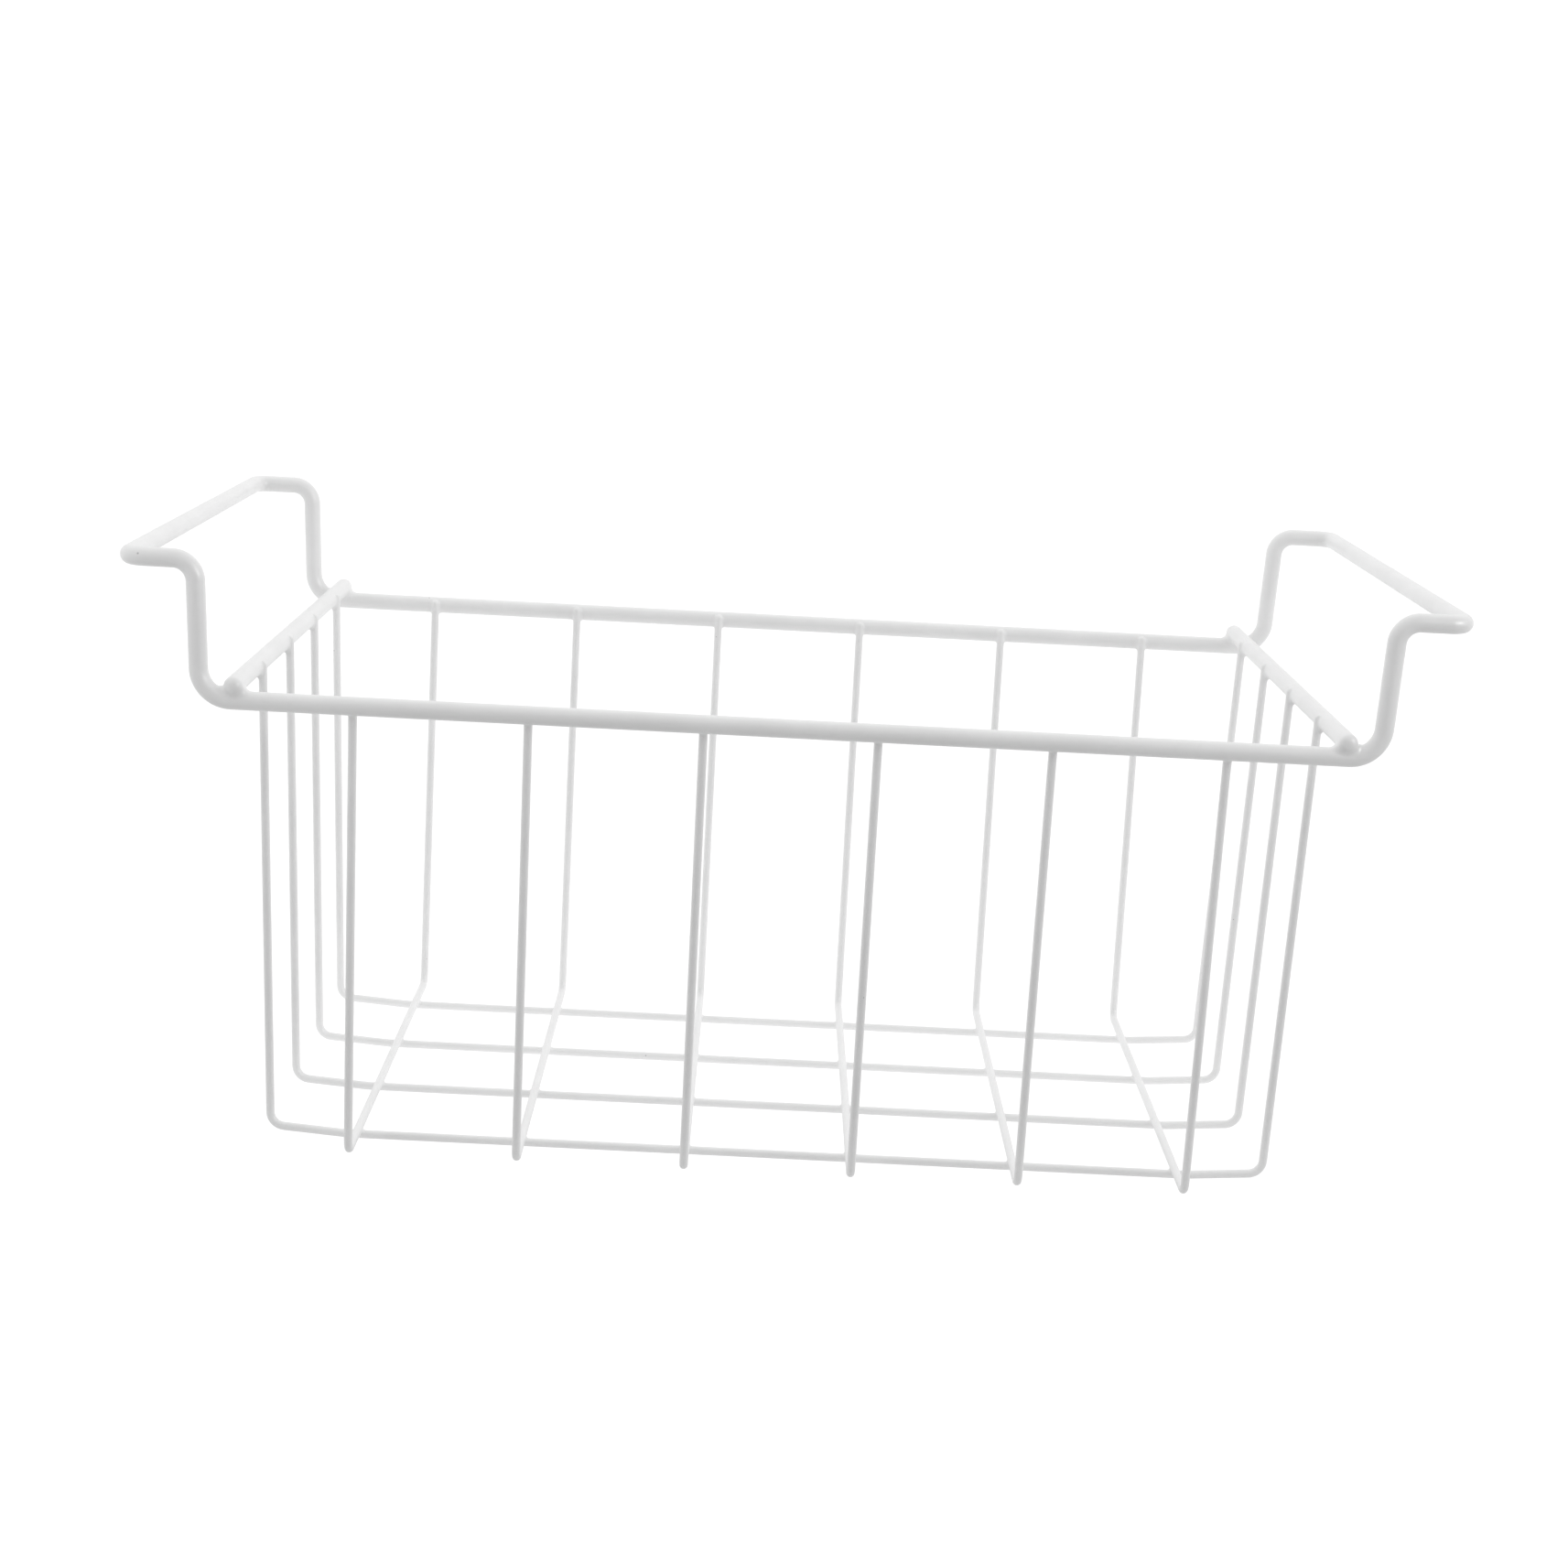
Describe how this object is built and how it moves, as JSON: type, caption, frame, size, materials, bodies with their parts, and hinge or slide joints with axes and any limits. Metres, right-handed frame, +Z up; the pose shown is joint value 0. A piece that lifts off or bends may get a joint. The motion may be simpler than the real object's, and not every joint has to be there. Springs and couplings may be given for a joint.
{
  "type": "freezer basket",
  "caption": "White coated wire basket for a chest freezer, open at the top, with raised handle loops that hang on the freezer's rims.",
  "frame": {"origin": "centre of the basket's bounding box, on the surface that its lowest floor wires stand on", "axes": "+X along the rails from the left handle to the right one, -Y towards the front, +Z up"},
  "size_m": [0.4626, 0.2398, 0.2205],
  "materials": {
    "coated_frame_wire": "satin white plastic coating over thick steel wire",
    "coated_mesh_wire": "satin white plastic coating over thin steel wire"
  },
  "bodies": {
    "root": {"rim_frame": "coated_frame_wire", "left_crossbar": "coated_frame_wire", "right_crossbar": "coated_frame_wire", "transverse_wire_1": "coated_mesh_wire", "transverse_wire_2": "coated_mesh_wire", "transverse_wire_3": "coated_mesh_wire", "transverse_wire_4": "coated_mesh_wire", "transverse_wire_5": "coated_mesh_wire", "transverse_wire_6": "coated_mesh_wire", "longitudinal_wire_1": "coated_mesh_wire", "longitudinal_wire_2": "coated_mesh_wire", "longitudinal_wire_3": "coated_mesh_wire", "longitudinal_wire_4": "coated_mesh_wire"}
  },
  "joints": []
}
